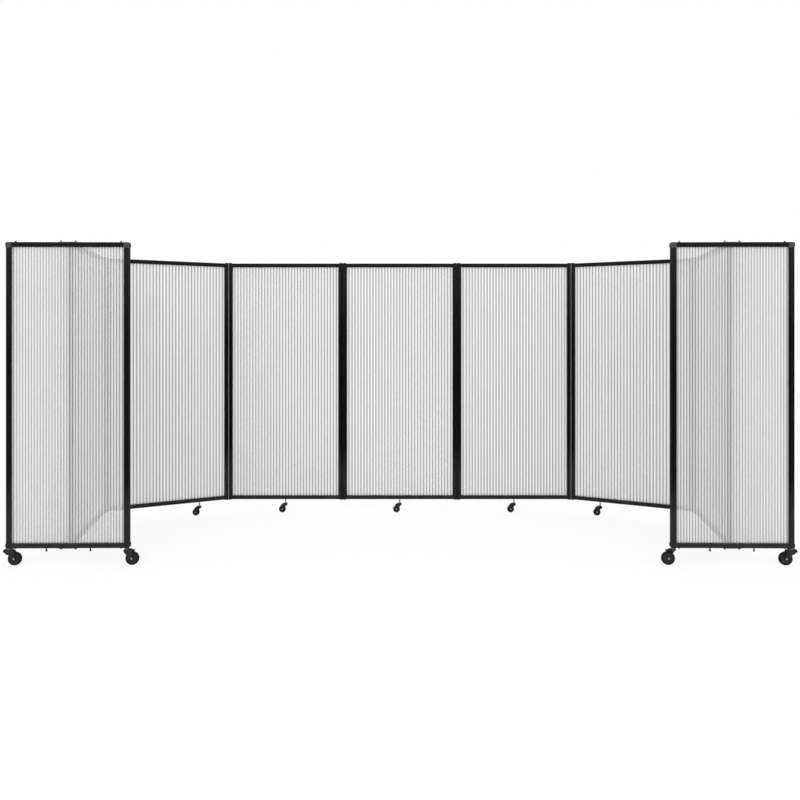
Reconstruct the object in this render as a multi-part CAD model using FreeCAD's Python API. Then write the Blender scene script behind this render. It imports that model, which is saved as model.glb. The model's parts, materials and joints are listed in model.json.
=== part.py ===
"""Folding room divider: seven polycarbonate panels hinged in a row, with a pivoting frame at each end.

Millimetres, +Z up. In plan the middle panel lies along X and its front faces -Y; the outer panels turn
towards the front, and the two end frames stand across their free edges.
"""
import FreeCAD
import Part
import math
import os
from FreeCAD import Placement, Rotation, Vector

# Whole screen
screen_height = 1829.0
floor_gap = 98.0            # floor to the underside of the end frames
panel_pitch = 838.2         # hinge centre to hinge centre along a panel
end_frame_width = 691.0

# Rest pose in plan, in degrees: each panel's turn towards the front, from the middle panel outwards
fold_turns = (0.0, 26.0, 99.5)
end_frame_turn = 0.7

# Frame sections
frame_depth = 26.0
stile_width = 30.0
rail_height = 27.0
stile_groove = 7.0          # how deep the sheet's groove runs into a stile
rail_groove = 14.0
end_stile_wall = 2.5

# Sheets: twin-wall, with open flutes from top to bottom
sheet_thickness = 10.0
sheet_play = 0.15           # between a sheet's face and the side of its groove
sheet_edge_gap = 0.3        # between a sheet's edge and the bottom of its groove
skin = 0.8
rib = 1.0
flute_pitch = 60.0          # before it is evened out over the sheet's width

# Hinges between panels: a link with one pin in each of the two stiles
hinge_gap = 3.0             # between the two stiles' round noses when the panels are in line
pin_radius = 8.0
pin_length = 45.0
running_clearance = 0.05    # round a pin or a shaft
plate_gap = 0.3             # between a plate and the end of the stile that turns under it
link_plate = 3.0
link_margin = 0.5           # how far the link plate stays inside the stile's nose
plate_chamfer = 7.0         # at the corners of the link plates and of the brackets' tongues
spine_thickness = 2.0
spine_depth = 20.0

# End frames: corner blocks, pivot brackets and pegs
corner_height = 31.0
corner_proud = 0.25
corner_chamfer = 4.0
bracket_width = 102.0
bracket_plate = 3.0
bracket_gap = 0.5           # between a bracket and the stile that turns under it
bracket_margin = 2.0        # from the bracket's front edge to the rail's front face
pivot_gap = 1.5             # between the end frame's back and the stile's round nose
peg_radius = 4.0
peg_length = 20.0
peg_offset = 124.0          # from the middle of the end frame

# Casters under the panels next to the middle
small_wheel_radius = 25.0
small_wheel_width = 18.0
small_trail = 24.0          # from the stem's axis to the axle
small_cheek = 2.5
small_side_gap = 0.5
small_crown_height = 70.0
small_crown_reach = 10.0
small_shoulder_height = 64.0    # where the hood starts, on the crown's side over the wheel
small_stem_radius = 5.0
small_stem_seat = 11.5      # how far the stem goes up into the rail
small_axle_radius = 3.0

# Casters under the end frames, with a brake pedal
large_wheel_radius = 38.0
large_wheel_width = 22.0
large_trail = 30.0
large_cheek = 3.0
large_side_gap = 1.0
large_crown_height = 92.0
large_crown_reach = 16.0
large_shoulder_height = 82.5
large_stem_radius = 7.0
large_stem_seat = 24.0
large_axle_radius = 5.0

# Forks and pedals
wheel_top_gap = 2.5         # between the wheel and the crown over it
hood_thickness = 4.0        # at its far end
bore_end_gap = 0.5          # beyond the end of a pin or a stem in its blind hole
pedal_root_radius = 3.5
pedal_gap = 0.3             # round the pedal's root, and at its two sides
pedal_tip_thickness = 3.0
pedal_rise = 3.0            # how much higher the tip is than the root
pedal_lip = 3.0             # thickness of the toe lip that hangs from the tip
pedal_lip_drop = 6.0
outer_pedal_reach = 36.0    # from the stem's axis to the tip
inner_pedal_reach = 46.0

# Side view of a fork, as shares: of the wheel's radius from the axle, and of the crown's reach from the stem
fork_foot_half_share = 0.34
fork_foot_drop_share = 0.24
fork_hood_share = 0.25
crown_chamfer_share = 0.3

# Flats round the pieces that repeat: pins and axles, the holes that stems turn in, and the wheels' treads
pin_sides = 8
tread_sides = 28

overrun = 1.0               # how far a cut runs past the face that it opens

# Places worked out from the sizes above
side_panels = len(fold_turns)
panel_count = 2 * side_panels + 1
nose_radius = frame_depth / 2
pin_spacing = frame_depth + hinge_gap
pin_to_pin = panel_pitch - pin_spacing
stile_inner = stile_width - nose_radius
groove_width = sheet_thickness + 2 * sheet_play
panel_top = screen_height - bracket_plate - bracket_gap
panel_bottom = floor_gap + bracket_gap
end_top = screen_height - bracket_plate
pivot_offset = frame_depth / 2 + pivot_gap + nose_radius


def outline(points):
    """A closed face through points in the X-Y plane."""
    corners = [Vector(x, y, 0) for x, y in points]
    return Part.Face(Part.makePolygon(corners + corners[:1]))


def rounded_outline(start, middle, end, points):
    """A face with one arc through start, middle and end, closed by straight lines through points."""
    arc = Part.Arc(Vector(*start, 0), Vector(*middle, 0), Vector(*end, 0)).toShape()
    run = [Vector(x, y, 0) for x, y in [end] + points + [start]]
    return Part.Face(Part.Wire([arc] + Part.makePolygon(run).Edges))


def upright(face, bottom, top):
    """A plan outline raised from one height to another."""
    return face.translated(Vector(0, 0, bottom)).extrude(Vector(0, 0, top - bottom))


def box(low, high):
    """A box between two corners."""
    size = Vector(*high) - Vector(*low)
    return Part.makeBox(size.x, size.y, size.z, Vector(*low))


def rod(radius, x, y, bottom, top):
    """An upright cylinder."""
    return Part.makeCylinder(radius, top - bottom, Vector(x, y, bottom))


def across(radius, x, z, width):
    """A cylinder along Y, centred on the X-Z plane."""
    return Part.makeCylinder(radius, width, Vector(x, -width / 2, z), Vector(0, 1, 0))


def side_shape(points, width):
    """A side view of X-Z points, as thick as width and centred on the X-Z plane."""
    corners = [Vector(x, -width / 2, z) for x, z in points]
    return Part.Face(Part.makePolygon(corners + corners[:1])).extrude(Vector(0, width, 0))


def ring(radius, sides, x, y):
    """The corners of a regular polygon round (x, y), the first one straight below it."""
    turns = [2 * math.pi * i / sides for i in range(sides)]
    return [(x + radius * math.sin(turn), y - radius * math.cos(turn)) for turn in turns]


def flat_sided_rod(radius, x, y, bottom, top):
    """An upright pin with flats, whose corners lie on the radius."""
    return upright(outline(ring(radius, pin_sides, x, y)), bottom, top)


def flat_sided_hole(radius, x, y, bottom, top):
    """An upright hole with flats that touch the radius."""
    return flat_sided_rod(radius / math.cos(math.pi / pin_sides), x, y, bottom, top)


def turned(shape, degrees):
    """A copy turned about the Z axis."""
    return shape.transformed(Rotation(Vector(0, 0, 1), degrees).toMatrix(), True)


def both_sides(shape):
    """The shape, and the same shape turned to the other end of its frame."""
    return [shape, turned(shape, 180)]


def panel_stiles():
    """Two extrusions with a round nose outside, the hinge pins' channel in it, and the sheet's groove inside."""
    half_groove = groove_width / 2
    groove_end = stile_groove - stile_inner
    inside = [
        (-stile_inner, nose_radius),
        (-stile_inner, half_groove),
        (groove_end, half_groove),
        (groove_end, -half_groove),
        (-stile_inner, -half_groove),
        (-stile_inner, -nose_radius),
    ]
    section = rounded_outline((0, -nose_radius), (nose_radius, 0), (0, nose_radius), inside)
    bar = upright(section, panel_bottom, panel_top)
    channel = rod(pin_radius + running_clearance, 0, 0, panel_bottom, panel_top)
    return both_sides(bar.cut(channel).translated(Vector(pin_to_pin / 2, 0, 0)))


def rail(length, bottom, faces_up):
    """A channel that holds the sheet's top or bottom edge."""
    half = frame_depth / 2
    bar = box((-length / 2, -half, bottom), (length / 2, half, bottom + rail_height))
    groove_low = bottom + rail_height - rail_groove if faces_up else bottom - overrun
    groove_high = bottom + rail_height + overrun if faces_up else bottom + rail_groove
    cut_half = length / 2 + overrun
    groove = box((-cut_half, -groove_width / 2, groove_low), (cut_half, groove_width / 2, groove_high))
    return bar.cut(groove)


def rail_pair(length, bottom, top):
    return [rail(length, bottom, True), rail(length, top - rail_height, False)]


def panel_rails(stem_x):
    """The two rails of a panel; stem_x is where a caster's stem goes into the lower one, or None."""
    lower, upper = rail_pair(pin_to_pin - 2 * stile_inner, panel_bottom, panel_top)
    if stem_x is not None:
        radius = small_stem_radius + running_clearance
        seat_top = panel_bottom + small_stem_seat + bore_end_gap
        lower = lower.cut(flat_sided_hole(radius, stem_x, 0, panel_bottom - overrun, seat_top))
    return [lower, upper]


def fluted_sheet(opening_width, bottom, top):
    """A twin-wall sheet in its grooves: two skins and the ribs between them, with the flutes open at both ends."""
    half_width = opening_width / 2 + stile_groove - sheet_edge_gap
    low = bottom + rail_height - rail_groove + sheet_edge_gap
    high = top - rail_height + rail_groove - sheet_edge_gap
    half = sheet_thickness / 2
    count = round(2 * half_width / flute_pitch)
    pitch = (2 * half_width - rib) / count
    flute_half = half - skin
    cells = []
    for i in range(count):
        left = rib - half_width + i * pitch
        right = left + pitch - rib
        cells.append(box((left, -flute_half, low - overrun), (right, flute_half, high + overrun)))
    slab = box((-half_width, -half, low), (half_width, half, high))
    return [slab.cut(Part.makeCompound(cells))]


def chamfered(half_length, half_width):
    """A plate's outline with its four corners cut off."""
    long, wide = half_length - plate_chamfer, half_width - plate_chamfer
    quarter = [(half_length, wide), (long, half_width)]
    upper = quarter + [(-x, y) for x, y in reversed(quarter)]
    return outline(upper + [(-x, -y) for x, y in upper])


def link_end(plate_low, pin_low, pin_high):
    """The plate at one end of a link, with its two pins; the link's pins lie on X, either side of the middle."""
    margin = nose_radius - link_margin
    plate = upright(chamfered(pin_spacing / 2 + margin, margin), plate_low, plate_low + link_plate)
    return plate.fuse([flat_sided_rod(pin_radius, x, 0, pin_low, pin_high) for x in (-pin_spacing / 2, pin_spacing / 2)])


def hinge_link():
    """A full-height spine between two stiles, with a plate and two pins at the top and at the bottom."""
    top_plate = panel_top + plate_gap
    bottom_plate = panel_bottom - plate_gap - link_plate
    top_end = link_end(top_plate, panel_top - pin_length, top_plate)
    bottom_end = link_end(bottom_plate, bottom_plate + link_plate, panel_bottom + pin_length)
    half = spine_thickness / 2
    spine = box((-half, -spine_depth / 2, bottom_plate), (half, spine_depth / 2, top_plate + link_plate))
    return [spine.fuse([top_end, bottom_end]).removeSplitter()]


def end_stiles():
    """Hollow box extrusions between the corner blocks."""
    half = frame_depth / 2
    outer = end_frame_width / 2
    inner = outer - stile_width
    low = floor_gap + corner_height
    high = end_top - corner_height
    bar = box((inner, -half, low), (outer, half, high))
    groove = box((inner - overrun, -groove_width / 2, low), (inner + stile_groove, groove_width / 2, high))
    chamber_half = half - end_stile_wall
    chamber_left = inner + stile_groove + end_stile_wall
    chamber = box((chamber_left, -chamber_half, low), (outer - end_stile_wall, chamber_half, high))
    return both_sides(bar.cut([groove, chamber]))


def end_corners():
    """Moulded blocks that join stile and rail; the lower two also hold the casters' stems."""
    outer = end_frame_width / 2
    inner = outer - stile_width
    low = floor_gap
    depth = frame_depth + 2 * corner_proud
    side = [
        (inner, low),
        (outer - corner_chamfer, low),
        (outer, low + corner_chamfer),
        (outer, low + corner_height),
        (inner, low + corner_height),
    ]
    notch_low = low + rail_height - rail_groove
    notch = box(
        (inner - overrun, -groove_width / 2, notch_low),
        (inner + stile_groove, groove_width / 2, low + corner_height + overrun),
    )
    block = side_shape(side, depth).cut(notch)
    middle_height = (floor_gap + end_top) / 2
    upper = block.mirror(Vector(0, 0, middle_height), Vector(0, 0, 1))
    seat_top = low + large_stem_seat + bore_end_gap
    stem_x = outer - stile_width / 2
    seat = flat_sided_hole(large_stem_radius + running_clearance, stem_x, 0, low - overrun, seat_top)
    return both_sides(block.cut(seat)) + both_sides(upper)


def bracket(plate_low, pin_low, pin_high):
    """A plate on the end frame's rail, with a tongue back to the pin in the panel's stile."""
    front = bracket_margin - frame_depth / 2
    back = frame_depth / 2
    tongue = nose_radius - link_margin
    tip = pivot_offset + tongue
    right = [
        (bracket_width / 2, front),
        (bracket_width / 2, back),
        (tongue, back),
        (tongue, tip - plate_chamfer),
        (tongue - plate_chamfer, tip),
    ]
    face = outline(right + [(-x, y) for x, y in reversed(right)])
    plate = upright(face, plate_low, plate_low + bracket_plate)
    return plate.fuse(flat_sided_rod(pin_radius, 0, pivot_offset, pin_low, pin_high))


def end_fittings():
    """The brackets above and below the end frame, and the two pegs under its lower rail."""
    pieces = [
        bracket(end_top, panel_top - pin_length, end_top),
        bracket(floor_gap - bracket_plate, floor_gap, panel_bottom + pin_length),
    ]
    for x in (-peg_offset, peg_offset):
        pieces.append(flat_sided_rod(peg_radius, x, 0, floor_gap - peg_length, floor_gap))
    return pieces


def fork(
    radius, width, trail, cheek, side_gap,
    crown_height, crown_reach, shoulder_height,
    stem_radius, stem_top, axle_radius,
):
    """A caster's fork with its stem and axle: the stem stands on Z, and the wheel trails along +X."""
    inside = width + 2 * side_gap
    crown_low = 2 * radius + wheel_top_gap
    foot_half = fork_foot_half_share * radius
    foot_low = radius - fork_foot_drop_share * radius
    chamfer = crown_chamfer_share * crown_reach
    side = [
        (-crown_reach, crown_height - chamfer),
        (chamfer - crown_reach, crown_height),
        (crown_reach - chamfer, crown_height),
        (crown_reach, crown_height - chamfer),
        (crown_reach, shoulder_height),
        (trail + fork_hood_share * radius, crown_low + hood_thickness),
        (trail + fork_hood_share * radius, crown_low),
        (trail + foot_half, foot_low),
        (trail - foot_half, foot_low),
        (-crown_reach, crown_low),
    ]
    body = side_shape(side, inside + 2 * cheek)
    well = box((-trail - radius, -inside / 2, 0), (trail + 2 * radius, inside / 2, crown_low))
    stem = rod(stem_radius, 0, 0, crown_height, stem_top)
    axle = side_shape(ring(axle_radius, pin_sides, trail, radius), inside)
    return body.cut(well).fuse([axle, stem])


def wheel(radius, width, trail, axle_radius):
    """A wheel on the fork's axle."""
    tread = side_shape(ring(radius, tread_sides, trail, radius), width)
    return tread.cut(across(axle_radius + running_clearance, trail, radius, width + 2 * overrun))


def small_caster():
    body = fork(
        radius=small_wheel_radius, width=small_wheel_width, trail=small_trail, cheek=small_cheek,
        side_gap=small_side_gap, crown_height=small_crown_height, crown_reach=small_crown_reach,
        shoulder_height=small_shoulder_height, stem_radius=small_stem_radius,
        stem_top=panel_bottom + small_stem_seat, axle_radius=small_axle_radius,
    )
    return {"fork": [body], "wheel": [wheel(small_wheel_radius, small_wheel_width, small_trail, small_axle_radius)]}


def pedal_height():
    """The height of the pedal's root, between the crown's shoulder and its top."""
    return (large_crown_height + large_shoulder_height) / 2


def large_caster(pedal_side, pedal_reach):
    """A caster with a brake pedal; pedal_side is 1 over the wheel and -1 on the other side of the stem."""
    body = fork(
        radius=large_wheel_radius, width=large_wheel_width, trail=large_trail, cheek=large_cheek,
        side_gap=large_side_gap, crown_height=large_crown_height, crown_reach=large_crown_reach,
        shoulder_height=large_shoulder_height, stem_radius=large_stem_radius,
        stem_top=floor_gap + large_stem_seat, axle_radius=large_axle_radius,
    )
    root_x = pedal_side * large_crown_reach
    root_z = pedal_height()
    root_width = large_wheel_width
    body = body.cut(across(pedal_root_radius + pedal_gap, root_x, root_z, root_width + 2 * pedal_gap))
    tip_x = pedal_side * pedal_reach
    lip_x = pedal_side * (pedal_reach - pedal_lip)
    tip_top = root_z + pedal_rise + pedal_tip_thickness / 2
    tip_low = tip_top - pedal_tip_thickness
    lever = side_shape(
        [
            (root_x, root_z - pedal_root_radius),
            (lip_x, tip_low),
            (lip_x, tip_low - pedal_lip_drop),
            (tip_x, tip_low - pedal_lip_drop),
            (tip_x, tip_top),
            (root_x, root_z + pedal_root_radius),
        ],
        root_width,
    )
    pedal = across(pedal_root_radius, root_x, root_z, root_width).fuse(lever).removeSplitter()
    roller = wheel(large_wheel_radius, large_wheel_width, large_trail, large_axle_radius)
    return {"fork": [body], "wheel": [roller], "pedal": [pedal]}


def along(start, degrees, length):
    """The point that lies a length away from start, in a direction in plan."""
    angle = math.radians(degrees)
    return start + Vector(length * math.cos(angle), length * math.sin(angle), 0)


def right_half():
    """Walk outwards from the middle panel: each link's centre and turn, each panel's centre and turn, the last pin."""
    pin = Vector(pin_to_pin / 2, 0, 0)
    links, panels = [], []
    before = 0.0
    for turn in fold_turns:
        link_turn = (before + turn) / 2
        far_pin = along(pin, -link_turn, pin_spacing)
        links.append(((pin + far_pin) / 2, -link_turn))
        pin = along(far_pin, -turn, pin_to_pin)
        panels.append(((pin + far_pin) / 2, -turn))
        before = turn
    return links, panels, pin


def placed(shapes, centre, degrees):
    """Copies turned about Z and moved in plan."""
    place = Placement(centre, Rotation(Vector(0, 0, 1), degrees))
    return [shape.transformed(place.toMatrix(), True) for shape in shapes]


def to_the_left(centre, degrees):
    """The mirrored place on the left half of the screen."""
    return Vector(-centre.x, centre.y, 0), -degrees


def plan_places():
    """Where each panel, link and end frame stands: a centre and a turn, numbered from the left."""
    links, panels, last_pin = right_half()
    middle = side_panels + 1
    panel_at = {middle: (Vector(0, 0, 0), 0.0)}
    link_at = {}
    for i in range(side_panels):
        panel_at[middle + i + 1] = panels[i]
        panel_at[middle - i - 1] = to_the_left(*panels[i])
        link_at[middle + i] = links[i]
        link_at[middle - i - 1] = to_the_left(*links[i])
    right_centre = along(last_pin, -end_frame_turn - 90, pivot_offset)
    end_at = {"right": (right_centre, -end_frame_turn)}
    end_at["left"] = to_the_left(*end_at["right"])
    return panel_at, link_at, end_at


def stem_place(panel):
    """How far along its panel a caster stands: the panels beside the outermost have it a quarter off the middle."""
    if panel in (1, panel_count):
        return None
    if panel == 2:
        return panel_pitch / 4
    if panel == panel_count - 1:
        return -panel_pitch / 4
    return 0.0


def build():
    """Every node's solids, by the node's name, before the origin is set."""
    panel_at, link_at, end_at = plan_places()
    nodes = {}
    stiles = panel_stiles()
    sheet = fluted_sheet(pin_to_pin - 2 * stile_inner, panel_bottom, panel_top)
    small = small_caster()
    for panel in range(1, panel_count + 1):
        centre, turn = panel_at[panel]
        stem_x = stem_place(panel)
        nodes[f"panel_{panel}_stiles"] = placed(stiles, centre, turn)
        nodes[f"panel_{panel}_rails"] = placed(panel_rails(stem_x), centre, turn)
        nodes[f"panel_{panel}_sheet"] = placed(sheet, centre, turn)
        if stem_x is not None:
            stem_at = along(centre, turn, stem_x)
            for piece, shapes in small.items():
                nodes[f"caster_{panel}_{piece}"] = placed(shapes, stem_at, 180)
    link = hinge_link()
    for number, (centre, turn) in link_at.items():
        nodes[f"hinge_{number}{number + 1}_link"] = placed(link, centre, turn)

    opening = end_frame_width - 2 * stile_width
    end_pieces = {
        "stiles": end_stiles(),
        "rails": rail_pair(opening, floor_gap, end_top),
        "corners": end_corners(),
        "sheet": fluted_sheet(opening, floor_gap, end_top),
        "fittings": end_fittings(),
    }
    stem_x = end_frame_width / 2 - stile_width / 2
    inner_caster = large_caster(1, inner_pedal_reach)
    outer_caster = large_caster(-1, outer_pedal_reach)
    for side, outwards in (("left", -1), ("right", 1)):
        centre, turn = end_at[side]
        for piece, shapes in end_pieces.items():
            nodes[f"{side}_end_{piece}"] = placed(shapes, centre, turn)
        trail_turn = turn if side == "left" else turn + 180
        for place, caster, sign in (("outer", outer_caster, outwards), ("inner", inner_caster, -outwards)):
            stem_at = along(centre, turn, sign * stem_x)
            for piece, shapes in caster.items():
                nodes[f"{side}_{place}_caster_{piece}"] = placed(shapes, stem_at, trail_turn)
    return nodes


def origin_of(nodes):
    """The middle of the whole screen's box, on the floor."""
    bounds = Part.makeCompound([shape for shapes in nodes.values() for shape in shapes]).BoundBox
    return Vector((bounds.XMin + bounds.XMax) / 2, (bounds.YMin + bounds.YMax) / 2, bounds.ZMin)


nodes = build()
origin = origin_of(nodes)
os.makedirs("parts", exist_ok=True)
for name, shapes in nodes.items():
    moved = [shape.translated(-origin) for shape in shapes]
    whole = moved[0] if len(moved) == 1 else Part.makeCompound(moved)
    whole.exportStep(f"parts/{name}.step")
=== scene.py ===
"""The looks of the folding room divider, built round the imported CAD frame. Metres, +Z up."""
import json
import math
import bmesh
import bpy
from mathutils import Matrix, Vector

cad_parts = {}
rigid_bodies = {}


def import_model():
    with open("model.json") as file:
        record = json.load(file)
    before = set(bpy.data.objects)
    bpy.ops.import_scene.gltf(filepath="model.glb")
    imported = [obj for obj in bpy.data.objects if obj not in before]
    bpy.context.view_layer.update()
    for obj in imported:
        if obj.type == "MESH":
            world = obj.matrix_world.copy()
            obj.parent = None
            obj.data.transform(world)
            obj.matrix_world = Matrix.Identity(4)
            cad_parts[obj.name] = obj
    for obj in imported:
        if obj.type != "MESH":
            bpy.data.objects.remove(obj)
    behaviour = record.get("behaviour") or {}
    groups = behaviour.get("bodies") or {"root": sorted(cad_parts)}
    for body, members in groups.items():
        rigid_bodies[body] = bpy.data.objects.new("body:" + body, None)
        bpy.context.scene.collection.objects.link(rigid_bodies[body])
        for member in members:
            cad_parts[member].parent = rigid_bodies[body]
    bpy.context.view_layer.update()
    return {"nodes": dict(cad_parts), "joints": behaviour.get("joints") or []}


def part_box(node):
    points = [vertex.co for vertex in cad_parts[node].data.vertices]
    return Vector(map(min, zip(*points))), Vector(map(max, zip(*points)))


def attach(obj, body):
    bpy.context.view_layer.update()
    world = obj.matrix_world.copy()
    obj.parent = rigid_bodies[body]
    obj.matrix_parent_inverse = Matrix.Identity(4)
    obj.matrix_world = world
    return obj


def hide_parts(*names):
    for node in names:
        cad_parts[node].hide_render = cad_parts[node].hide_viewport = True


for left_over in list(bpy.data.objects):
    bpy.data.objects.remove(left_over)
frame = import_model()

MM = 0.001
PANELS = range(1, 8)
HINGES = range(1, 7)        # a hinge has the number of the panel to its left
CASTERED_PANELS = range(2, 7)
SIDES = ("left", "right")

# From one rib's line on a sheet to the next
PANEL_RIB_PITCH = 21.7 * MM
END_RIB_PITCH = 16.7 * MM

joints = {joint["name"]: joint for joint in frame["joints"]}


def spot(joint):
    return Vector(joints[joint]["pos_m"])


def place_on(origin, along):
    """A local frame in plan: the origin on the floor, X in the direction along, Z up."""
    x = Vector((along.x, along.y, 0.0)).normalized()
    y = Vector((-x.y, x.x, 0.0))
    place = Matrix.Identity(4)
    for row in range(3):
        place[row][0], place[row][1] = x[row], y[row]
    place[0][3], place[1][3] = origin.x, origin.y
    return place


def panel_place(number):
    """The middle of a panel, with X from its left pin to its right one."""
    left = spot(f"hinge_{number - 1}{number}_pin_{number}" if number > 1 else "left_end_pivot")
    right = spot(f"hinge_{number}{number + 1}_pin_{number}" if number < 7 else "right_end_pivot")
    return place_on((left + right) / 2, right - left)


def link_place(number):
    """The middle of the hinge between a panel and the next one."""
    near = spot(f"hinge_{number}{number + 1}_pin_{number}")
    far = spot(f"hinge_{number}{number + 1}_pin_{number + 1}")
    return place_on((near + far) / 2, far - near)


def end_place(side):
    """The middle of an end frame, with X to the viewer's right."""
    outer, inner = spot(f"{side}_outer_caster_swivel"), spot(f"{side}_inner_caster_swivel")
    left, right = (outer, inner) if side == "left" else (inner, outer)
    return place_on((left + right) / 2, right - left)


def local_box(node, place):
    """The lowest and highest corner of a CAD node in a local frame."""
    back = place.inverted()
    points = [back @ vertex.co for vertex in frame["nodes"][node].data.vertices]
    low = Vector([min(point[i] for point in points) for i in range(3)])
    high = Vector([max(point[i] for point in points) for i in range(3)])
    return low, high


# Materials

class Nodes:
    """A material's node tree, with one call for a node, its settings and what goes into it."""

    def __init__(self, name, tree=None):
        if tree is None:
            self.material = bpy.data.materials.new(name)
            self.material.use_nodes = True
            tree = self.material.node_tree
        self.tree = tree
        self.tree.nodes.clear()

    def add(self, kind, inputs=None, **settings):
        node = self.tree.nodes.new(kind)
        for key, value in settings.items():
            setattr(node, key, value)
        for key, value in (inputs or {}).items():
            if isinstance(value, bpy.types.NodeSocket):
                self.tree.links.new(value, node.inputs[key])
            else:
                node.inputs[key].default_value = value
        return node

    def math(self, operation, first, second=0.0):
        return self.add("ShaderNodeMath", {0: first, 1: second}, operation=operation).outputs[0]

    def blend(self, factor, first, second):
        node = self.add("ShaderNodeMix", {0: factor, 6: first, 7: second}, data_type="RGBA")
        return node.outputs[2]

    def spread(self, value, low, high, to_low, to_high):
        node = self.add("ShaderNodeMapRange", {0: value, 1: low, 2: high, 3: to_low, 4: to_high})
        return node.outputs[0]

    def noise(self, where, scale, detail=2.0, rough=0.5):
        inputs = {"Vector": where, "Scale": scale, "Detail": detail, "Roughness": rough}
        return self.add("ShaderNodeTexNoise", inputs).outputs["Fac"]

    def bump(self, height, strength, distance, under=None):
        inputs = {"Height": height, "Strength": strength, "Distance": distance}
        if under is not None:
            inputs["Normal"] = under
        return self.add("ShaderNodeBump", inputs).outputs["Normal"]

    def finish(self, shader):
        self.add("ShaderNodeOutputMaterial", {"Surface": shader})
        return self.material


def grey(value, warm=0.0):
    return (value * (1 + warm), value, value * (1 - warm), 1.0)


WHITE = (1.0, 1.0, 1.0, 1.0)
# The lighter tone that the dark coats take towards the floor: painted reflection of the floor
FLOOR_REFLECTION_TONE = grey(0.16, 0.04)

# Heights over the floor between which a coat's tone changes, in metres: painted reflection of the floor, painted
# light from above, and painted light at both ends
FLOOR_REFLECTION_HEIGHTS = 0.0, 0.55
LIT_TOP_HEIGHTS = 1.4, 1.75
LOW_LIT_END_HEIGHTS = 0.28, 0.48
HIGH_LIT_END_HEIGHTS = 1.3, 1.85
HIGH_LIT_END_SHARE = 0.75


def coated(name, dark, light, rough, specular, grain_scale, grain_depth, floor_reflection, lit_top=None, lit_ends=None):
    """A dark satin surface: fine grain, a mottle in colour and gloss, and duller patches towards the floor, lighter
    in colour there as painted reflection of the floor.

    Where a tone for the top is given, the coat turns to it at the top of the screen: painted light from above. Where
    a tone for the ends is given, it turns to it near the floor and, less, near the top: painted light.
    """
    nodes = Nodes(name)
    where = nodes.add("ShaderNodeTexCoord").outputs["Object"]
    mottle = nodes.noise(where, 7.0, 5.0, 0.6)
    grain = nodes.noise(where, grain_scale, 2.0, 0.6)
    height = nodes.add("ShaderNodeSeparateXYZ", {0: where}).outputs["Z"]
    # Lighter, duller patches towards the floor: their lighter colour is painted reflection of the floor
    near_floor = nodes.spread(height, *FLOOR_REFLECTION_HEIGHTS, 1.0, 0.0)
    patches = nodes.spread(nodes.noise(where, 23.0, 6.0, 0.65), 0.35, 0.75, 0.35, 1.0)
    dust_and_floor_reflection = nodes.math("MULTIPLY", nodes.math("MULTIPLY", near_floor, patches), floor_reflection)
    tone = nodes.blend(nodes.spread(mottle, 0.3, 0.7, 0.0, 1.0), dark, light)
    tone = nodes.blend(dust_and_floor_reflection, tone, FLOOR_REFLECTION_TONE)
    if lit_top is not None:
        # Painted light from above: the coat turns to a lighter tone at the top of the screen
        tone = nodes.blend(nodes.spread(height, *LIT_TOP_HEIGHTS, 0.0, 1.0), tone, lit_top)
    if lit_ends is not None:
        # Painted light: the coat turns lighter near the floor and, less, near the top
        low_lit_end = nodes.spread(height, *LOW_LIT_END_HEIGHTS, 1.0, 0.0)
        high_lit_end = nodes.spread(height, *HIGH_LIT_END_HEIGHTS, 0.0, HIGH_LIT_END_SHARE)
        tone = nodes.blend(nodes.math("ADD", low_lit_end, high_lit_end), tone, lit_ends)
    clean_gloss = nodes.spread(mottle, 0.3, 0.7, rough - 0.05, rough + 0.06)
    gloss = nodes.math("ADD", clean_gloss, nodes.math("MULTIPLY", dust_and_floor_reflection, 0.5))
    shader = nodes.add("ShaderNodeBsdfPrincipled", {
        "Base Color": tone,
        "Roughness": gloss,
        "Normal": nodes.bump(grain, 0.35, grain_depth),
    })
    shader.inputs["Specular IOR Level"].default_value = specular
    return nodes.finish(shader.outputs[0])


def rubber(name):
    """Black tread rubber, greyer and duller with floor dust, with fine scuffs."""
    nodes = Nodes(name)
    where = nodes.add("ShaderNodeTexCoord").outputs["Object"]
    scuffs = nodes.noise(where, 160.0, 6.0, 0.7)
    dust_and_floor_reflection = nodes.spread(nodes.noise(where, 45.0, 5.0, 0.6), 0.4, 0.75, 0.0, 0.2)
    tone = nodes.blend(nodes.spread(scuffs, 0.35, 0.65, 0.0, 1.0), grey(0.004), grey(0.010))
    tone = nodes.blend(dust_and_floor_reflection, tone, grey(0.07, 0.05))
    shader = nodes.add("ShaderNodeBsdfPrincipled", {
        "Base Color": tone,
        "Roughness": nodes.spread(scuffs, 0.3, 0.7, 0.55, 0.72),
        "Normal": nodes.bump(scuffs, 0.4, 0.0002),
    })
    shader.inputs["Specular IOR Level"].default_value = 0.1
    return nodes.finish(shader.outputs[0])


def plated(name, tone, rough):
    """Zinc-plated steel with faint turning marks and a dull bloom."""
    nodes = Nodes(name)
    where = nodes.add("ShaderNodeTexCoord").outputs["Object"]
    bloom = nodes.noise(where, 260.0, 4.0, 0.6)
    marks = nodes.noise(where, 3200.0, 2.0, 0.5)
    shader = nodes.add("ShaderNodeBsdfPrincipled", {
        "Base Color": nodes.blend(bloom, grey(tone * 0.86), grey(tone)),
        "Roughness": nodes.spread(bloom, 0.3, 0.7, rough - 0.06, rough + 0.1),
        "Normal": nodes.bump(marks, 0.2, 0.00005),
    })
    shader.inputs["Metallic"].default_value = 1.0
    return nodes.finish(shader.outputs[0])


SEE_THROUGH = 0.40          # of one surface, and a sheet has two
RIB_LINE_SHARPNESS = 2.2
FINE_LINE_SHARE = 0.08      # of the lines at a third of the pitch
WORN_TONE = grey(0.75)


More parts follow.
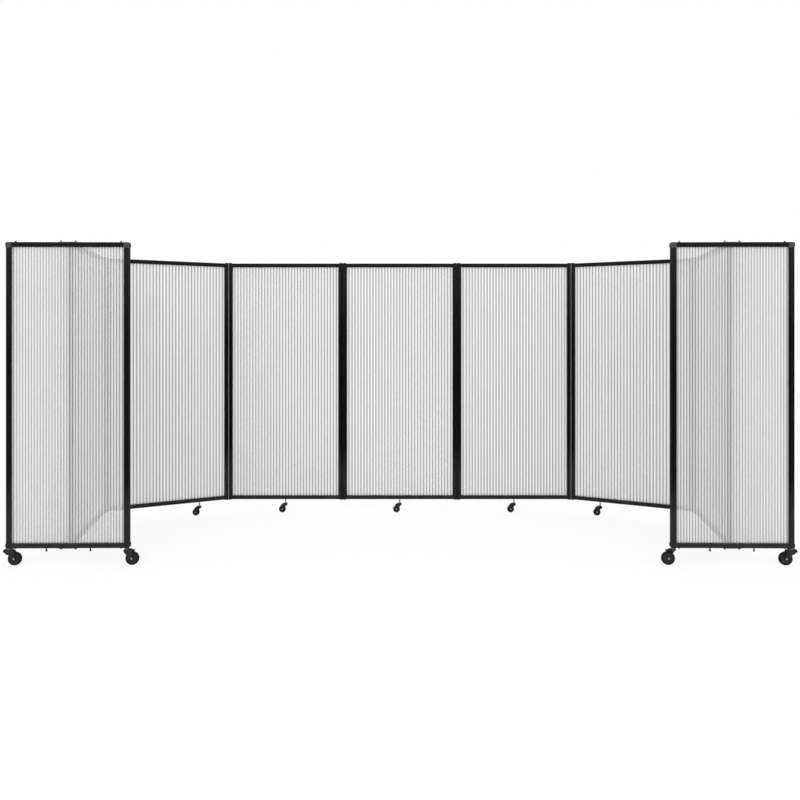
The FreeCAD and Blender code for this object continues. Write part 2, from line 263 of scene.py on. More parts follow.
def fluted(name, pitch, bright, dark_front, dark_back):
    """Translucent fluted polycarbonate: a dark line at each rib, fainter lines between, and some see-through."""
    nodes = Nodes(name)
    across = nodes.add("ShaderNodeUVMap", uv_map="sheet").outputs["UV"]
    where = nodes.add("ShaderNodeTexCoord").outputs["Object"]
    u = nodes.add("ShaderNodeSeparateXYZ", {0: across}).outputs["X"]
    turns = nodes.math("MULTIPLY", u, 2 * math.pi / pitch)
    wave = nodes.spread(nodes.math("COSINE", turns), -1.0, 1.0, 0.0, 1.0)
    rib = nodes.math("POWER", wave, RIB_LINE_SHARPNESS)
    fine = nodes.spread(nodes.math("COSINE", nodes.math("MULTIPLY", turns, 3.0)), -1.0, 1.0, 0.0, 1.0)
    rib_part = nodes.math("MULTIPLY", rib, 1 - FINE_LINE_SHARE)
    line = nodes.math("ADD", rib_part, nodes.math("MULTIPLY", fine, FINE_LINE_SHARE))
    worn = nodes.spread(nodes.noise(where, 3.0, 3.0, 0.5), 0.35, 0.65, 0.0, 0.05)
    front_tone = nodes.blend(worn, nodes.blend(line, bright, dark_front), WORN_TONE)
    back_tone = nodes.blend(worn, nodes.blend(line, bright, dark_back), WORN_TONE)
    haze = nodes.noise(where, 900.0, 2.0, 0.6)
    skin = nodes.add("ShaderNodeBsdfPrincipled", {
        "Base Color": front_tone,
        "Roughness": nodes.spread(haze, 0.3, 0.7, 0.28, 0.4),
        "Normal": nodes.bump(haze, 0.1, 0.0001),
    })
    skin.inputs["Specular IOR Level"].default_value = 0.12
    through = nodes.add("ShaderNodeBsdfTranslucent", {"Color": back_tone})
    body = nodes.add("ShaderNodeMixShader", {0: 0.5, 1: skin.outputs[0], 2: through.outputs[0]})
    clear = nodes.add("ShaderNodeBsdfTransparent", {"Color": WHITE})
    sheet = nodes.add("ShaderNodeMixShader", {0: 1 - SEE_THROUGH, 1: clear.outputs[0], 2: body.outputs[0]})
    return nodes.finish(sheet.outputs[0])


# Each coat: its two tones, roughness, specular level, the grain's scale and depth, and how much painted floor
# reflection it takes
FRAME_BLACK = coated("frame_powder_coat", grey(0.0025), grey(0.006), 0.42, 0.13, 1500.0, 0.00012, 0.15)
# The stiles take a darker, less glossy copy of the rails' coat, so their sides read darker: painted shade. Near the
# floor and the top it turns lighter: painted light.
STILE_BLACK = coated(
    "stile_powder_coat", grey(0.0015), grey(0.004), 0.45, 0.045, 1500.0, 0.00012, 0.05, lit_ends=grey(0.017))
# The hinge links turn lighter near the floor and near the top: painted light
HINGE_BLACK = coated(
    "hinge_powder_coat", grey(0.0015), grey(0.004), 0.45, 0.05, 1500.0, 0.00012, 0.06, lit_ends=grey(0.012))
# The corner blocks and the fittings turn lighter towards the top: painted light from above
CORNER_GREY = coated(
    "corner_plastic", grey(0.005), grey(0.009), 0.55, 0.14, 900.0, 0.00015, 0.1, lit_top=grey(0.05))
FITTING_GREY = coated(
    "fitting_paint", grey(0.010), grey(0.016), 0.45, 0.25, 1300.0, 0.0001, 0.2, lit_top=grey(0.42))
SCREW_BLACK = coated("screw_oxide", grey(0.006), grey(0.012), 0.4, 0.3, 1300.0, 0.0001, 0.15)
FORK_BLACK = coated("caster_plastic", grey(0.004), grey(0.009), 0.42, 0.17, 1000.0, 0.00012, 0.12)
HUB_BLACK = coated("hub_plastic", grey(0.005), grey(0.011), 0.48, 0.18, 1000.0, 0.00012, 0.18)
PEDAL_BLACK = coated("pedal_plastic", grey(0.003), grey(0.007), 0.4, 0.14, 1100.0, 0.00015, 0.1)
RUBBER = rubber("tread_rubber")
STEEL = plated("zinc_plate", 0.55, 0.34)
DULL_STEEL = plated("dull_zinc_plate", 0.36, 0.42)
DARK_STEEL = plated("dark_stem_steel", 0.10, 0.4)
SHEET_WARMTH = -0.003
PANEL_SHEET = fluted(
    "panel_polycarbonate", PANEL_RIB_PITCH,
    grey(0.955, SHEET_WARMTH), grey(0.29, SHEET_WARMTH), grey(0.05, SHEET_WARMTH),
)
END_SHEET = fluted(
    "end_polycarbonate", END_RIB_PITCH, grey(0.985, SHEET_WARMTH), grey(0.18, SHEET_WARMTH), grey(0.0))


# Mesh building

def rounded(corners, reach, steps=5):
    """A closed outline with its corners rounded off; reach says how far along its sides each rounding starts."""
    outline = []
    for i, corner in enumerate(corners):
        middle = Vector(corner)
        before, after = Vector(corners[i - 1]) - middle, Vector(corners[(i + 1) % len(corners)]) - middle
        size = reach[i] if isinstance(reach, (list, tuple)) else reach
        start = middle + before.normalized() * min(size, before.length / 2)
        end = middle + after.normalized() * min(size, after.length / 2)
        for step in range(steps + 1):
            t = step / steps
            outline.append(start * (1 - t) ** 2 + middle * (2 * t * (1 - t)) + end * t ** 2)
    return outline


def prism(outline, low, high, axis="Z"):
    """A solid between two copies of an outline: of X-Y points along Z, or of X-Z points along Y."""
    bm = bmesh.new()
    rings = []
    for level in (low, high):
        points = [(p[0], p[1], level) if axis == "Z" else (p[0], level, p[1]) for p in outline]
        rings.append([bm.verts.new(point) for point in points])
    bm.faces.new(rings[0])
    bm.faces.new(rings[1])
    count = len(outline)
    for i in range(count):
        bm.faces.new((rings[0][i], rings[0][(i + 1) % count], rings[1][(i + 1) % count], rings[1][i]))
    bmesh.ops.recalc_face_normals(bm, faces=bm.faces)
    return bm


def lathe(profile, segments=40):
    """A solid turned about Z from (radius, height) points; the first and the last lie on the axis."""
    bm = bmesh.new()
    rings = []
    for radius, height in profile:
        if radius < 1e-7:
            rings.append([bm.verts.new((0.0, 0.0, height))])
            continue
        turns = [2 * math.pi * i / segments for i in range(segments)]
        rings.append([bm.verts.new((radius * math.cos(t), radius * math.sin(t), height)) for t in turns])
    for one, other in zip(rings, rings[1:]):
        for i in range(segments):
            j = (i + 1) % segments
            corners = [one[i % len(one)], one[j % len(one)], other[j % len(other)], other[i % len(other)]]
            bm.faces.new(list(dict.fromkeys(corners)))
    bmesh.ops.recalc_face_normals(bm, faces=bm.faces)
    return bm


def closed_ring(profile, segments=64):
    """A solid ring turned about Z from a closed (radius, height) outline."""
    bm = bmesh.new()
    turns = [2 * math.pi * i / segments for i in range(segments)]
    rings = [[bm.verts.new((r * math.cos(t), r * math.sin(t), h)) for t in turns] for r, h in profile]
    for one, other in zip(rings, rings[1:] + rings[:1]):
        for i in range(segments):
            j = (i + 1) % segments
            bm.faces.new((one[i], one[j], other[j], other[i]))
    bmesh.ops.recalc_face_normals(bm, faces=bm.faces)
    return bm


def softened(bm, width, angle=40.0, segments=2):
    """Rounds the sharp edges of a solid."""
    sharp = [e for e in bm.edges if len(e.link_faces) == 2 and e.calc_face_angle(0.0) > math.radians(angle)]
    bmesh.ops.bevel(
        bm, geom=sharp, offset=width, offset_type="OFFSET", segments=segments, profile=0.5, affect="EDGES",
        clamp_overlap=True,
    )
    return bm


def moved(bm, x=0.0, z=0.0, turn=None):
    if turn is not None:
        bm.transform(turn)
    bm.transform(Matrix.Translation((x, 0.0, z)))
    return bm


ALONG_Y = Matrix.Rotation(math.radians(-90), 4, "X")    # lays a turned solid's axis along Y
UPSIDE_DOWN = Matrix.Rotation(math.radians(180), 4, "X")


def mesh_of(solids, name):
    """One mesh of several closed solids."""
    whole = bmesh.new()
    for solid in solids:
        part = bpy.data.meshes.new("part")
        solid.to_mesh(part)
        solid.free()
        whole.from_mesh(part)
        bpy.data.meshes.remove(part)
    mesh = bpy.data.meshes.new(name)
    whole.to_mesh(mesh)
    whole.free()
    return mesh


def united(solids, name):
    """One closed mesh in which several overlapping solids are joined."""
    holders = []
    for number, solid in enumerate(solids):
        holder = bpy.data.objects.new(f"{name}_part{number}", mesh_of([solid], "part"))
        bpy.context.scene.collection.objects.link(holder)
        holders.append(holder)
    for other in holders[1:]:
        join = holders[0].modifiers.new("join", "BOOLEAN")
        join.operation, join.solver, join.object = "UNION", "EXACT", other
    bpy.context.view_layer.update()
    seen = holders[0].evaluated_get(bpy.context.evaluated_depsgraph_get())
    mesh = bpy.data.meshes.new_from_object(seen)
    mesh.name = name
    for holder in holders:
        bpy.data.objects.remove(holder)
    return mesh


def piece(name, mesh, place, body, material, replaces=(), smooth=35.0):
    """Puts a mesh made in a local frame in its place, to ride on a CAD body.

    Edges sharper than smooth, in degrees, stay sharp in the shading.
    """
    mesh.transform(place)
    mesh.materials.clear()
    mesh.materials.append(material)
    mesh.shade_smooth()
    mesh.set_sharp_from_angle(angle=math.radians(smooth))
    obj = bpy.data.objects.new(name, mesh)
    bpy.context.scene.collection.objects.link(obj)
    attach(obj, body)
    if replaces:
        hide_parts(*replaces)
    return obj


# CAD nodes that stay: their edges are eased and they get their finish

FRAME_EDGE = 0.8 * MM
FITTING_EDGE = 0.5 * MM


def dress(node, material, ease):
    obj = frame["nodes"][node]
    for slot in obj.material_slots:
        slot.material = material
    weld = obj.modifiers.new("weld", "WELD")
    weld.merge_threshold = 1e-5
    bevel = obj.modifiers.new("ease", "BEVEL")
    bevel.width, bevel.segments, bevel.limit_method = ease, 2, "ANGLE"
    bevel.angle_limit = math.radians(50)
    bevel.use_clamp_overlap = True
    obj.modifiers.new("normals", "WEIGHTED_NORMAL")


for number in PANELS:
    dress(f"panel_{number}_stiles", STILE_BLACK, FRAME_EDGE)
    dress(f"panel_{number}_rails", FRAME_BLACK, FRAME_EDGE)
for number in HINGES:
    dress(f"hinge_{number}{number + 1}_link", HINGE_BLACK, FITTING_EDGE)
for side in SIDES:
    dress(f"{side}_end_stiles", STILE_BLACK, FRAME_EDGE)
    dress(f"{side}_end_rails", FRAME_BLACK, FRAME_EDGE)
    dress(f"{side}_end_fittings", FITTING_GREY, FITTING_EDGE)


# Sheets

RIB_HALF = 1.3 * MM         # half the width of the groove along a rib
RIB_DEPTH = 0.5 * MM
SHEET_SMOOTH = 10.0


def ribbed_sheet(low, high, pitch):
    """A sheet with a shallow groove along each rib, on both faces, and UVs in metres across and up."""
    count = round((high.x - low.x) / pitch)
    step = (high.x - low.x) / count
    middle = (low.y + high.y) / 2
    columns = [(low.x, 0.0)]
    for i in range(1, count):
        rib = low.x + i * step
        columns += [(rib - RIB_HALF, 0.0), (rib, RIB_DEPTH), (rib + RIB_HALF, 0.0)]
    columns.append((high.x, 0.0))
    bm = bmesh.new()
    uv = bm.loops.layers.uv.new("sheet")
    rings = []
    for x, depth in columns:
        front, back = low.y + depth, high.y - depth
        corners = [(x, front, low.z), (x, front, high.z), (x, back, high.z), (x, back, low.z)]
        rings.append([bm.verts.new(corner) for corner in corners])
    bm.faces.new(rings[0])
    bm.faces.new(rings[-1])
    for one, other in zip(rings, rings[1:]):
        for i in range(4):
            j = (i + 1) % 4
            bm.faces.new((one[i], one[j], other[j], other[i]))
    bmesh.ops.recalc_face_normals(bm, faces=bm.faces)
    for face in bm.faces:
        for loop in face.loops:
            loop[uv].uv = ((loop.vert.co.x - low.x) * pitch / step, loop.vert.co.z)
    mesh = bpy.data.meshes.new("ribbed_sheet")
    bm.to_mesh(mesh)
    bm.free()
    return mesh


for number in PANELS:
    place = panel_place(number)
    node = f"panel_{number}_sheet"
    mesh = ribbed_sheet(*local_box(node, place), PANEL_RIB_PITCH)
    piece(f"panel_{number}_ribbed_sheet", mesh, place, f"panel_{number}", PANEL_SHEET, [node], SHEET_SMOOTH)
for side in SIDES:
    place = end_place(side)
    node = f"{side}_end_sheet"
    mesh = ribbed_sheet(*local_box(node, place), END_RIB_PITCH)
    piece(f"{side}_end_ribbed_sheet", mesh, place, f"{side}_end_frame", END_SHEET, [node], SHEET_SMOOTH)


# Screws

def screw_head(radius, height):
    """A domed head with a round socket, standing on z = 0."""
    return lathe([
        (0.0, -0.2 * height),
        (radius, -0.2 * height),
        (radius, 0.25 * height),
        (radius * 0.94, 0.55 * height),
        (radius * 0.76, 0.84 * height),
        (radius * 0.5, height),
        (radius * 0.4, height),
        (radius * 0.36, 0.45 * height),
        (0.0, 0.4 * height),
    ], 28)


def cap_screw(radius, height):
    """A cap head on its washer, with a round socket in its top, standing on z = 0."""
    return lathe([
        (0.0, -0.5 * MM),
        (radius * 1.45, -0.5 * MM),
        (radius * 1.45, 0.9 * MM),
        (radius * 1.35, 1.2 * MM),
        (radius, 1.2 * MM),
        (radius, height - 0.7 * MM),
        (radius * 0.88, height),
        (radius * 0.56, height),
        (radius * 0.54, height * 0.5),
        (0.0, height * 0.46),
    ], 28)


PIN_HEAD = 5.5 * MM, 3.2 * MM

for number in HINGES:
    place = link_place(number)
    name = f"hinge_{number}{number + 1}"
    low, high = local_box(f"{name}_link", place)
    apart = (spot(f"{name}_pin_{number}") - spot(f"{name}_pin_{number + 1}")).length
    pins = [sign * apart / 2 for sign in (-1, 1)]
    heads = [moved(screw_head(*PIN_HEAD), x=x, z=high.z) for x in pins]
    heads += [moved(screw_head(*PIN_HEAD), x=x, z=low.z, turn=UPSIDE_DOWN) for x in pins]
    piece(f"{name}_pin_heads", mesh_of(heads, "pin_heads"), place, f"link_{number}{number + 1}", HINGE_BLACK)


# End frames: corner blocks, screws and peg feet

CORNER_BULGE = 3.5 * MM     # past the stile's outer side
CORNER_PROUD = 0.8 * MM     # before and behind the CAD's corner
CAP_SCREW_RADIUS = 4.6 * MM
RAIL_SCREW_OFFSET = 0.297   # from the middle of the end frame
TOP_RAIL_SCREW = 7.5 * MM   # how high the heads stand
LOW_RAIL_SCREW = 6.0 * MM
BRACKET_SCREW_OFFSET = 0.041
BRACKET_SCREW = 7.0 * MM
BRACKET_PLATE = 3 * MM
PEG_OFFSET = 0.124
PEG_FOOT = [
    (0.0, 0.0), (5.4 * MM, 0.0), (6.2 * MM, 0.8 * MM), (6.2 * MM, 4.2 * MM), (5.2 * MM, 5.4 * MM),
    (4.2 * MM, 6.2 * MM), (0.0, 6.2 * MM),
]
FLIP_Z = Matrix.Scale(-1, 4, (0, 0, 1))
HALF_TURN = Matrix.Rotation(math.radians(180), 4, "Z")


def corner_block(inner, outer, height, depth):
    """A lower corner block, towards +X, whose outer side swells past the stile."""
    bulge = outer + CORNER_BULGE
    side = rounded(
        [
            (inner, 0.0), (outer - 1 * MM, 0.0), (bulge, 10 * MM), (bulge, height - 11 * MM), (outer, height),
            (inner, height),
        ],
        [0.4 * MM, 4 * MM, 5 * MM, 6 * MM, 2 * MM, 0.4 * MM],
    )
    return softened(prism(side, -depth / 2, depth / 2, "Y"), 1.0 * MM)


for side in SIDES:
    place = end_place(side)
    body = f"{side}_end_frame"
    low, high = local_box(f"{side}_end_corners", place)
    stile_low, stile_high = local_box(f"{side}_end_stiles", place)
    rail_low, rail_high = local_box(f"{side}_end_rails", place)
    inner, outer, height = rail_high.x, stile_high.x, stile_low.z - low.z
    depth = high.y - low.y + 2 * CORNER_PROUD
    blocks = []
    for turn in (None, HALF_TURN):
        for top in (False, True):
            block = corner_block(inner, outer, height, depth)
            if top:
                block.transform(FLIP_Z)
                bmesh.ops.reverse_faces(block, faces=block.faces)
            blocks.append(moved(block, turn=turn, z=high.z if top else low.z))
    mesh = mesh_of(blocks, "corners")
    piece(f"{side}_end_corner_blocks", mesh, place, body, CORNER_GREY, [f"{side}_end_corners"])

    fit_low, fit_high = local_box(f"{side}_end_fittings", place)
    plate_low = rail_low.z - BRACKET_PLATE
    screws = []
    for sign in (-1, 1):
        x = sign * RAIL_SCREW_OFFSET
        screws.append(moved(cap_screw(CAP_SCREW_RADIUS, TOP_RAIL_SCREW), x=x, z=rail_high.z))
        screws.append(moved(cap_screw(CAP_SCREW_RADIUS, LOW_RAIL_SCREW), x=x, z=rail_low.z, turn=UPSIDE_DOWN))
    for sign in (-1, 1):
        x = sign * BRACKET_SCREW_OFFSET
        screws.append(moved(cap_screw(CAP_SCREW_RADIUS, BRACKET_SCREW), x=x, z=fit_high.z))
        screws.append(moved(cap_screw(CAP_SCREW_RADIUS, BRACKET_SCREW), x=x, z=plate_low, turn=UPSIDE_DOWN))
    piece(f"{side}_end_screws", mesh_of(screws, "screws"), place, body, SCREW_BLACK)

    feet = [moved(lathe(PEG_FOOT, 28), x=sign * PEG_OFFSET, z=fit_low.z) for sign in (-1, 1)]
    piece(f"{side}_end_peg_feet", mesh_of(feet, "feet"), place, body, FITTING_GREY)


# Casters

def tyre(radius, width):
    """The tread: rounded shoulders, a groove on each side where it meets the wheel's core."""
    half, core = width / 2, radius * 0.76
    profile = [
        (core, -half * 0.86), (radius * 0.80, -half), (radius * 0.90, -half), (radius * 0.965, -half * 0.86),
        (radius * 0.992, -half * 0.6), (radius, -half * 0.28), (radius, half * 0.28), (radius * 0.992, half * 0.6),
        (radius * 0.965, half * 0.86), (radius * 0.90, half), (radius * 0.80, half), (core, half * 0.86),
    ]
    return closed_ring(profile)


def core(radius, width, bore):
    """The wheel's core: a rim, a dished web and a boss on each side."""
    half, rim = width / 2, radius * 0.765
    one_side = [
        (bore, half), (bore + 3.2 * MM, half), (bore + 3.8 * MM, half * 0.9), (bore + 4.2 * MM, half * 0.5),
        (rim * 0.62, half * 0.42), (rim * 0.80, half * 0.5), (rim * 0.86, half * 0.88), (rim * 0.95, half * 0.92),
        (rim, half * 0.8),
    ]
    other_side = [(r, -h) for r, h in reversed(one_side)]
    return closed_ring(one_side + other_side)


def axle_bolt(half_width, radius):
    """An axle with a domed head and a washer outside each cheek."""
    def end(sign):
        return [
            (radius * 0.95, sign * half_width), (radius * 1.55, sign * half_width),
            (radius * 1.55, sign * (half_width + 0.7 * MM)), (radius * 1.15, sign * (half_width + 0.8 * MM)),
            (radius * 1.08, sign * (half_width + 1.7 * MM)), (radius * 0.75, sign * (half_width + 2.5 * MM)),
            (0.0, sign * (half_width + 2.8 * MM)),
        ]
    return lathe(list(reversed(end(-1))) + end(1), 32)


def fork_cheek(outline, inside, outside, sign):
    """One cheek of a fork, on the side that sign gives."""
    low, high = sorted((sign * inside, sign * outside))
    return softened(prism(outline, low, high, "Y"), 0.7 * MM)


def caster_fork(inside, outside, cheek, bridge, crown):
    """Two cheeks, the bridge between them over the wheel, and the turned crown."""
    solids = [fork_cheek(cheek, inside - 0.1 * MM, outside, sign) for sign in (-1, 1)]
    solids.append(softened(prism(bridge, -inside, inside, "Y"), 0.4 * MM))
    solids.append(lathe(crown, 40))
    return united(solids, "fork")


def small_caster(number):
    """The stem caster under a panel."""
    prefix = f"caster_{number}"
    stem, axle = spot(f"{prefix}_swivel"), spot(f"{prefix}_roll")
    place = place_on(stem, axle - stem)
    trail = (Vector((axle.x, axle.y)) - Vector((stem.x, stem.y))).length
    radius = axle.z
    wheel_low, wheel_high = local_box(f"{prefix}_wheel", place)
    outside = local_box(f"{prefix}_fork", place)[1].y
    inside = wheel_high.y + 0.5 * MM
    cheek = rounded(
        [
            (-12.5 * MM, 63 * MM), (-7.5 * MM, 69.5 * MM), (6 * MM, 69.5 * MM), (20 * MM, 66 * MM),
            (trail + 11 * MM, 55 * MM), (trail + 10 * MM, 33 * MM), (trail + 5 * MM, 18.5 * MM),
            (trail - 5 * MM, 18.5 * MM), (trail - 11 * MM, 32 * MM), (-4 * MM, 50 * MM), (-13.5 * MM, 55.5 * MM),
        ],
        [3 * MM, 3 * MM, 4 * MM, 6 * MM, 8 * MM, 7 * MM, 4.5 * MM, 4.5 * MM, 8 * MM, 5 * MM, 3 * MM], 6,
    )
    bridge = rounded(
        [
            (-12.5 * MM, 63 * MM), (-7.5 * MM, 69.5 * MM), (6 * MM, 69.5 * MM), (20 * MM, 66 * MM),
            (trail + 9 * MM, 56 * MM), (trail + 6 * MM, 52 * MM), (-6 * MM, 51.5 * MM), (-13.5 * MM, 55.5 * MM),
        ],
        [3 * MM, 3 * MM, 4 * MM, 5 * MM, 1 * MM, 1 * MM, 3 * MM, 3 * MM],
    )
    crown = [
        (0.0, 60 * MM), (9.8 * MM, 60 * MM), (10.6 * MM, 63 * MM), (10.6 * MM, 68 * MM), (9.6 * MM, 69.6 * MM),
        (8.2 * MM, 70 * MM), (0.0, 70 * MM),
    ]
    body = f"{prefix}_fork"
    mesh = caster_fork(inside, outside, cheek, bridge, crown)
    piece(f"{prefix}_housing", mesh, place, body, FORK_BLACK, [f"{prefix}_fork"])
    rail_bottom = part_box(f"panel_{number}_rails")[0].z
    stem_solid = lathe([
        (0.0, 66 * MM), (5.0 * MM, 66 * MM), (5.0 * MM, rail_bottom + 5 * MM), (0.0, rail_bottom + 5 * MM),
    ], 24)
    race = lathe([
        (0.0, 69 * MM), (6.6 * MM, 69 * MM), (7.2 * MM, 70.4 * MM), (7.2 * MM, 71.6 * MM), (5.4 * MM, 72.6 * MM),
        (0.0, 72.6 * MM),
    ], 32)
    socket = lathe([
        (0.0, rail_bottom - 1.6 * MM), (6.4 * MM, rail_bottom - 1.6 * MM), (6.9 * MM, rail_bottom - 0.9 * MM),
        (6.9 * MM, rail_bottom + 0.5 * MM), (0.0, rail_bottom + 0.5 * MM),
    ], 32)
    piece(f"{prefix}_stem", united([stem_solid, race, socket], "stem"), place, body, DULL_STEEL)
    bolt = moved(axle_bolt(outside - 0.3 * MM, 2.6 * MM), x=trail, z=radius, turn=ALONG_Y)
    piece(f"{prefix}_axle", mesh_of([bolt], "axle"), place, body, STEEL)
    wheel_at = {"x": trail, "z": radius, "turn": ALONG_Y}
    width = wheel_high.y - wheel_low.y
    tread = mesh_of([moved(tyre(radius, width), **wheel_at)], "tyre")
    piece(f"{prefix}_tyre", tread, place, f"{prefix}_wheel", RUBBER, [f"{prefix}_wheel"])
    middle = mesh_of([moved(core(radius, width, 3.2 * MM), **wheel_at)], "core")
    piece(f"{prefix}_core", middle, place, f"{prefix}_wheel", HUB_BLACK)


def large_caster(prefix, over_wheel):
    """A caster under an end frame, whose brake pedal lies over the wheel or on the other side of the stem."""
    stem, axle = spot(f"{prefix}_swivel"), spot(f"{prefix}_roll")
    place = place_on(stem, axle - stem)
    trail = (Vector((axle.x, axle.y)) - Vector((stem.x, stem.y))).length
    radius = axle.z
    wheel_low, wheel_high = local_box(f"{prefix}_wheel", place)
    outside = local_box(f"{prefix}_fork", place)[1].y
    inside = wheel_high.y + 1.0 * MM
    top = 91.6 * MM
    cheek = rounded(
        [
            (-16 * MM, 78 * MM), (-16.5 * MM, 86.5 * MM), (-11 * MM, top), (11.5 * MM, top), (16.5 * MM, 87 * MM),
            (25 * MM, 84.5 * MM), (29 * MM, 75 * MM), (trail + 5 * MM, 50 * MM), (trail + 10 * MM, 41 * MM),
            (trail + 7.5 * MM, 29 * MM), (trail - 7.5 * MM, 29 * MM), (trail - 17 * MM, 42 * MM), (-3 * MM, 60 * MM),
        ],
        [4 * MM, 4 * MM, 4 * MM, 4 * MM, 2 * MM, 4 * MM, 6 * MM, 5 * MM, 5 * MM, 6 * MM, 6 * MM, 9 * MM, 9 * MM], 6,
    )
    bridge = rounded(
        [
            (-16 * MM, 80 * MM), (-16.5 * MM, 86.5 * MM), (-11 * MM, top), (11.5 * MM, top), (16.5 * MM, 87 * MM),
            (24.5 * MM, 84.3 * MM), (26.5 * MM, 78.8 * MM), (-12 * MM, 78.5 * MM),
        ],
        [2 * MM, 4 * MM, 4 * MM, 4 * MM, 2 * MM, 3 * MM, 1 * MM, 2 * MM],
    )
    crown = [
        (0.0, 82 * MM), (14.2 * MM, 82 * MM), (15.2 * MM, 84 * MM), (15.2 * MM, 87.5 * MM), (13.6 * MM, 90.4 * MM),
        (11.6 * MM, top), (0.0, top),
    ]
    body = f"{prefix}_fork"
    mesh = caster_fork(inside, outside, cheek, bridge, crown)
    piece(f"{prefix}_housing", mesh, place, body, FORK_BLACK, [f"{prefix}_fork"])
    race = lathe([
        (0.0, 91 * MM), (13.4 * MM, 91 * MM), (14.2 * MM, 91.8 * MM), (14.2 * MM, 93 * MM), (13.4 * MM, 93.9 * MM),
        (9.0 * MM, 94.4 * MM), (0.0, 94.4 * MM),
    ], 40)
    piece(f"{prefix}_race", mesh_of([race], "race"), place, body, DULL_STEEL)
    collar = lathe([
        (0.0, 93 * MM), (9.0 * MM, 93 * MM), (9.0 * MM, 96.8 * MM), (8.2 * MM, 97.6 * MM), (6.9 * MM, 97.8 * MM),
        (6.9 * MM, 100 * MM), (0.0, 100 * MM),
    ], 32)
    piece(f"{prefix}_collar", mesh_of([collar], "collar"), place, body, DARK_STEEL)
    bolt = moved(axle_bolt(outside - 0.3 * MM, 3.4 * MM), x=trail, z=radius, turn=ALONG_Y)
    piece(f"{prefix}_axle", mesh_of([bolt], "axle"), place, body, DULL_STEEL)
    wheel_at = {"x": trail, "z": radius, "turn": ALONG_Y}
    width = wheel_high.y - wheel_low.y
    tread = mesh_of([moved(tyre(radius, width), **wheel_at)], "tyre")
    piece(f"{prefix}_tyre", tread, place, f"{prefix}_wheel", RUBBER, [f"{prefix}_wheel"])
    middle = mesh_of([moved(core(radius, width, 5.2 * MM), **wheel_at)], "core")
    piece(f"{prefix}_core", middle, place, f"{prefix}_wheel", HUB_BLACK)
    pedal(prefix, place, over_wheel)


def grip_rib(near, far, share):
    """The outline of a low rib across the pedal's face, at a share of the way from near to far, in millimetres."""
    near, far = Vector(near), Vector(far)
    along = (far - near).normalized()
    out = Vector((-along.y, along.x))
    foot = near.lerp(far, share)
    base, top = along * 0.9, along * 0.6
    return [foot - base - out * 2, foot + base - out * 2, foot + top + out * 0.5, foot - top + out * 0.5]


def pedal(prefix, place, over_wheel):
    """The brake pedal, ribbed on top: a low tongue over the wheel, or a blunt wedge with a web on the other side."""
    low, high = local_box(f"{prefix}_pedal", place)
    half = (high.y - low.y) / 2
    sign = 1 if over_wheel else -1
    tip = max(high.x, -low.x) / MM
    if over_wheel:
        side = [
            (14.5, 91.3), (18.5, 91.5), (29, 86), (tip - 6, 84), (tip - 1.8, 82.6), (tip - 1.2, 80.3),
            (tip - 3.5, 80), (28, 80.3), (14.5, 83.9),
        ]
        ease = [2, 3, 5, 3, 1, 1, 2, 4, 3]
        face = (29, 86), (tip - 6, 84)
    else:
        side = [
            (14.5, 91.2), (23, 92.8), (tip - 8.5, 91.3), (tip - 1.5, 82), (tip - 2.2, 79.3), (9.5, 58.5), (8, 61),
            (13.5, 70), (18.2, 77.5), (18.2, 81), (14.5, 83.9),
        ]
        ease = [3, 4, 3, 2, 1.5, 1.5, 1.5, 3, 2, 2, 1.5]
        face = (tip - 8.5, 91.3), (tip - 1.5, 82)
    shape = rounded([(sign * x * MM, z * MM) for x, z in side], [size * MM for size in ease])
    solids = [softened(prism(shape, -half, half, "Y"), 0.8 * MM)]
    for share in (0.25, 0.5, 0.75):
        rib = grip_rib(*face, share)
        solids.append(prism([(sign * x * MM, z * MM) for x, z in rib], -half * 0.8, half * 0.8, "Y"))
    node = f"{prefix}_pedal"
    piece(f"{prefix}_toe_pedal", united(solids, "pedal"), place, node, PEDAL_BLACK, [node])


for number in CASTERED_PANELS:
    small_caster(number)
for side in SIDES:
    large_caster(f"{side}_outer_caster", False)
    large_caster(f"{side}_inner_caster", True)


# Floor, light and camera

FLOOR_FADE = 4.0, 14.0      # from the middle, in metres
WHITE_NEAR = 0.84           # how much of the floor near the object is plain white to the camera


def floor_material():
    """A pale floor that keeps the object's shadow near it and fades into the white background further out."""
    nodes = Nodes("floor_white")
    where = nodes.add("ShaderNodeTexCoord").outputs["Object"]
    far = nodes.add("ShaderNodeVectorMath", {0: where}, operation="LENGTH").outputs["Value"]
    fade = nodes.spread(far, *FLOOR_FADE, WHITE_NEAR, 1.0)
    seen = nodes.add("ShaderNodeLightPath").outputs["Is Camera Ray"]
    factor = nodes.math("MULTIPLY", fade, seen)
    speckle = nodes.noise(where, 60.0, 4.0, 0.6)
    paint = nodes.add("ShaderNodeBsdfPrincipled", {
        "Base Color": nodes.blend(speckle, grey(0.93), grey(0.95)),
        "Roughness": nodes.spread(speckle, 0.3, 0.7, 0.75, 0.85),
    })
    paint.inputs["Specular IOR Level"].default_value = 0.1
    white = nodes.add("ShaderNodeEmission", {"Color": WHITE, "Strength": 1.0})
    mix = nodes.add("ShaderNodeMixShader", {0: factor, 1: paint.outputs[0], 2: white.outputs[0]})
    return nodes.finish(mix.outputs[0])


bm = bmesh.new()
bmesh.ops.create_grid(bm, x_segments=1, y_segments=1, size=60.0)
floor_mesh = bpy.data.meshes.new("floor")
bm.to_mesh(floor_mesh)
bm.free()
floor_mesh.materials.append(floor_material())
floor = bpy.data.objects.new("floor", floor_mesh)
bpy.context.scene.collection.objects.link(floor)

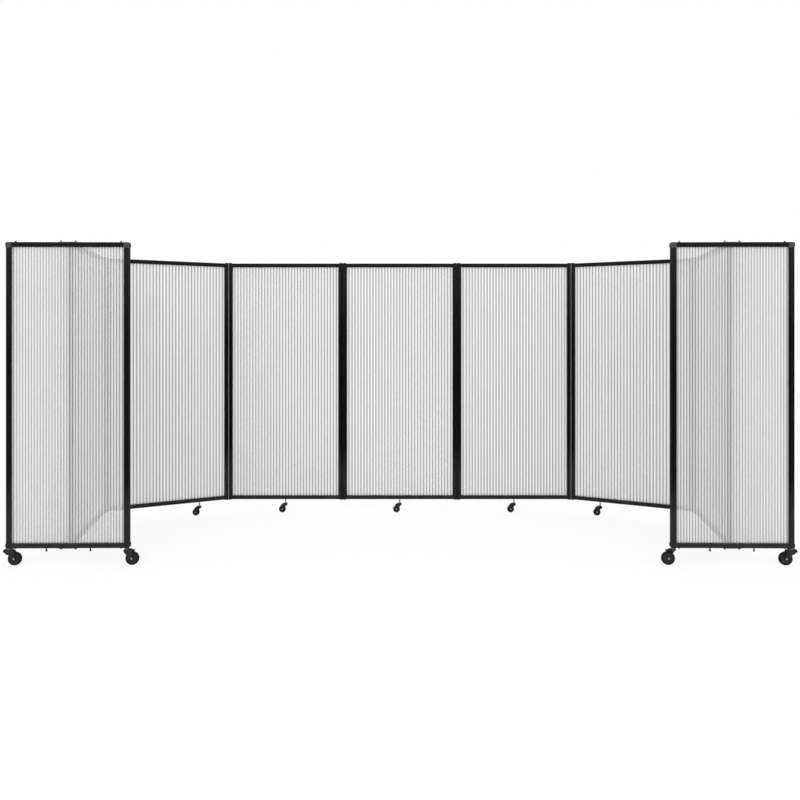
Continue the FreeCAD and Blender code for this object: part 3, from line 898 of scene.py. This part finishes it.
WORLD_LEVEL = 1.06
world = bpy.data.worlds.new("studio")
world.use_nodes = True
bpy.context.scene.world = world
sky = Nodes("studio", world.node_tree)
path = sky.add("ShaderNodeLightPath").outputs
mirrored = sky.math("MAXIMUM", path["Is Glossy Ray"], path["Is Transmission Ray"])
shown = sky.math("MAXIMUM", path["Is Camera Ray"], mirrored)
lit = sky.add("ShaderNodeBackground", {"Color": WHITE, "Strength": WORLD_LEVEL})
white = sky.add("ShaderNodeBackground", {"Color": WHITE, "Strength": 1.0})
both = sky.add("ShaderNodeMixShader", {0: shown, 1: lit.outputs[0], 2: white.outputs[0]})
sky.add("ShaderNodeOutputWorld", {"Surface": both.outputs[0]})


def soft_light(name, at, towards, size, watts):
    lamp = bpy.data.lights.new(name, "AREA")
    lamp.shape, lamp.size, lamp.size_y, lamp.energy = "RECTANGLE", size[0], size[1], watts
    obj = bpy.data.objects.new(name, lamp)
    obj.location = at
    obj.rotation_euler = (Vector(towards) - Vector(at)).to_track_quat("-Z", "Y").to_euler()
    obj.visible_camera = False
    obj.visible_glossy = False
    bpy.context.scene.collection.objects.link(obj)


LIT_SPOT = (0.0, 0.2, 0.8)
LAMP_SIZE = (4.0, 3.0)
soft_light("key", (-3.5, -5.0, 4.5), LIT_SPOT, LAMP_SIZE, 90.0)
soft_light("fill", (4.0, -4.5, 3.5), LIT_SPOT, LAMP_SIZE, 55.0)

# The photograph's camera, in pixels of an image 800 pixels wide
IMAGE_WIDTH = 800.0
FOCAL_PIXELS = 719.3
HORIZON_ROW = 335.2
SIDE_SHIFT = 1.56
SENSOR_WIDTH = 36.0
CAMERA_PLACE = (-0.0099, -4.675, 1.3004)
camera_data = bpy.data.cameras.new("camera")
camera_data.sensor_width = SENSOR_WIDTH
camera_data.lens = SENSOR_WIDTH * FOCAL_PIXELS / IMAGE_WIDTH
camera_data.shift_x = SIDE_SHIFT / IMAGE_WIDTH
camera_data.shift_y = (HORIZON_ROW - IMAGE_WIDTH / 2) / IMAGE_WIDTH
camera_data.clip_end = 200.0
camera = bpy.data.objects.new("camera", camera_data)
camera.location = CAMERA_PLACE
camera.rotation_euler = (math.radians(90), 0.0, 0.0)
bpy.context.scene.collection.objects.link(camera)
bpy.context.scene.camera = camera

bpy.context.scene.view_settings.view_transform = "Standard"
